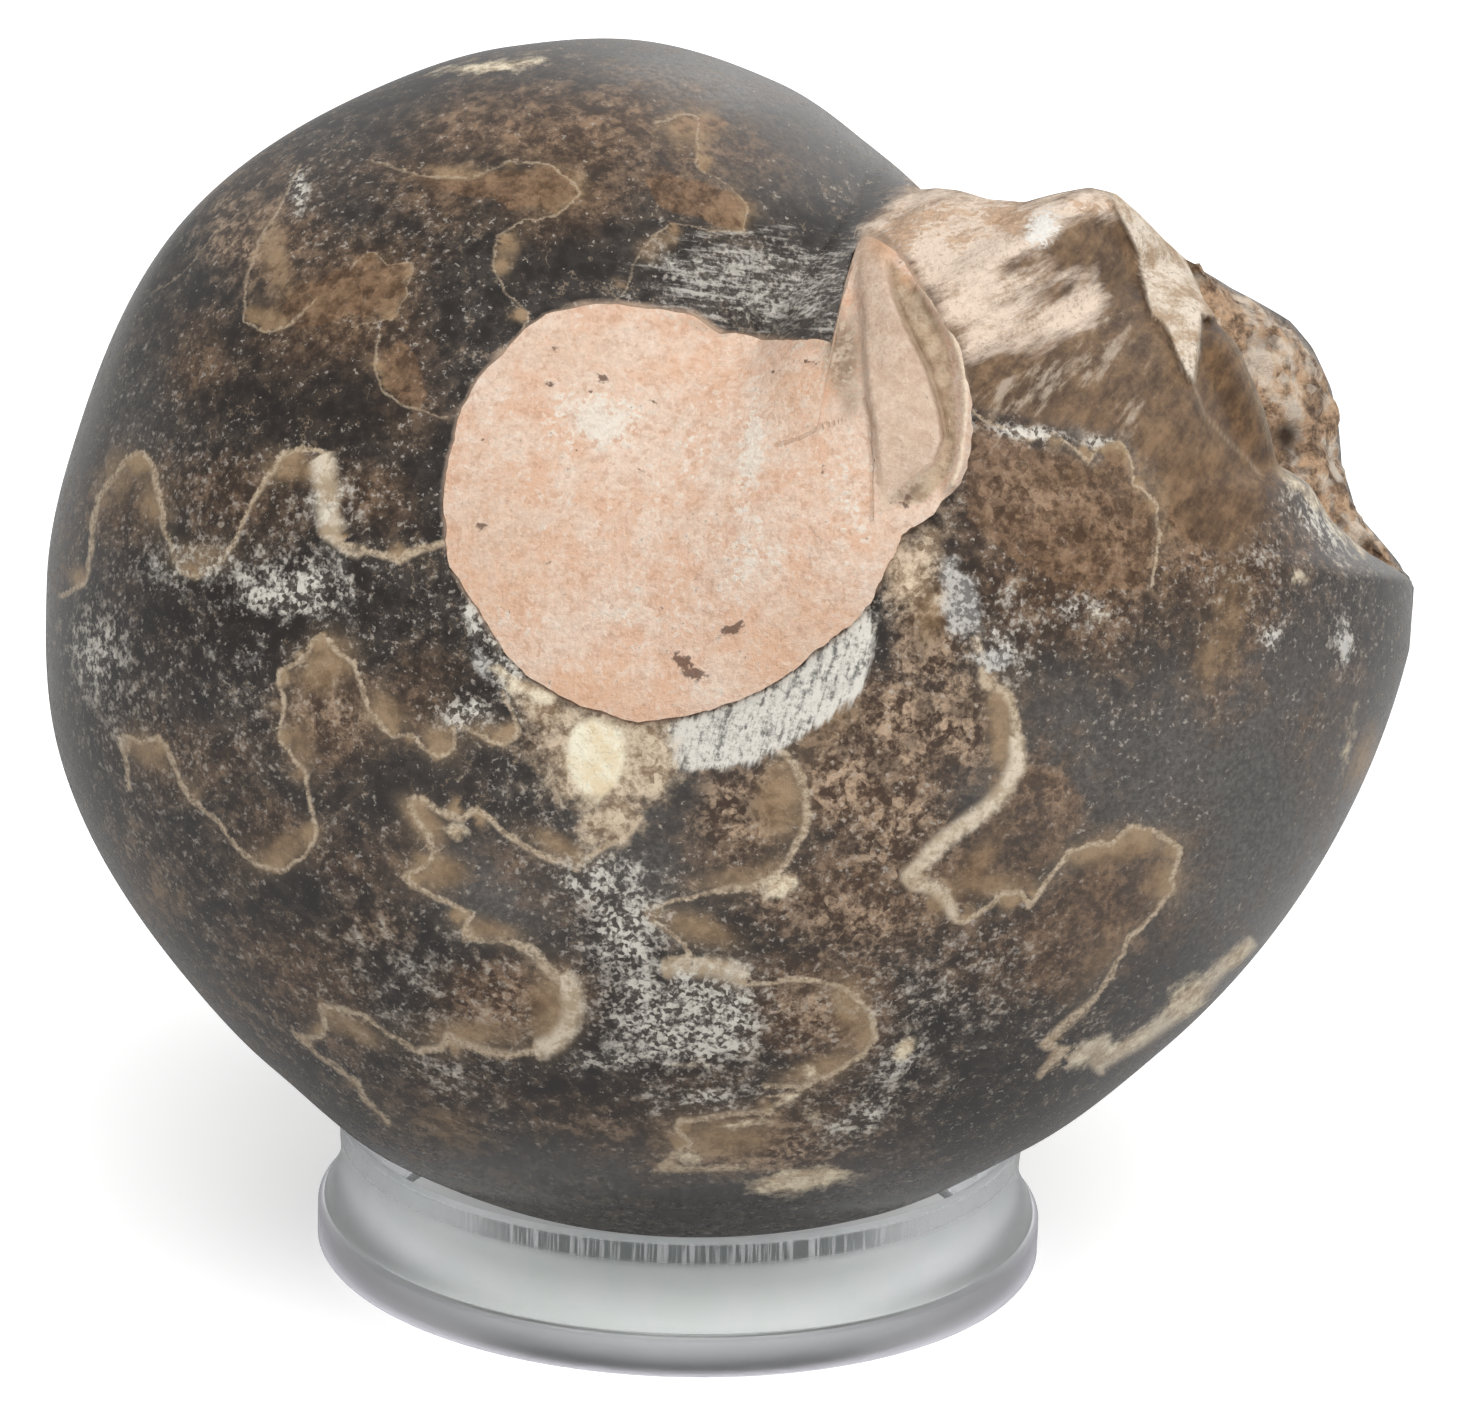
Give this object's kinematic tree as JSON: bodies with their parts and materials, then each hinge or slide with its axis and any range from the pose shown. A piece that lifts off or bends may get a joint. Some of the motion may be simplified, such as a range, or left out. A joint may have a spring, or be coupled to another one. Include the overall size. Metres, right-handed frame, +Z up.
{
  "type": "fossil ammonite on a ring stand",
  "caption": "Polished globular fossil ammonite with a broken last whorl and a sandy rock plug in its umbilicus, leaning back in a clear turned ring stand.",
  "frame": {"origin": "bottom centre of the box of fossil and stand together, on the surface that the ring stand rests on", "axes": "+Z up, +X to the right and -Y towards someone who looks at the side with the rock plug"},
  "size_m": [0.0954, 0.0724, 0.0862],
  "materials": {
    "polished_calcite": "polished dark brown calcite with cream suture lines",
    "sandy_matrix": "matt salmon-coloured sandy rock",
    "clear_acrylic": "clear turned acrylic, tool marks on its outside"
  },
  "bodies": {
    "root": {"ammonite": "polished_calcite", "umbilical_matrix": "sandy_matrix", "display_ring": "clear_acrylic"}
  },
  "joints": []
}
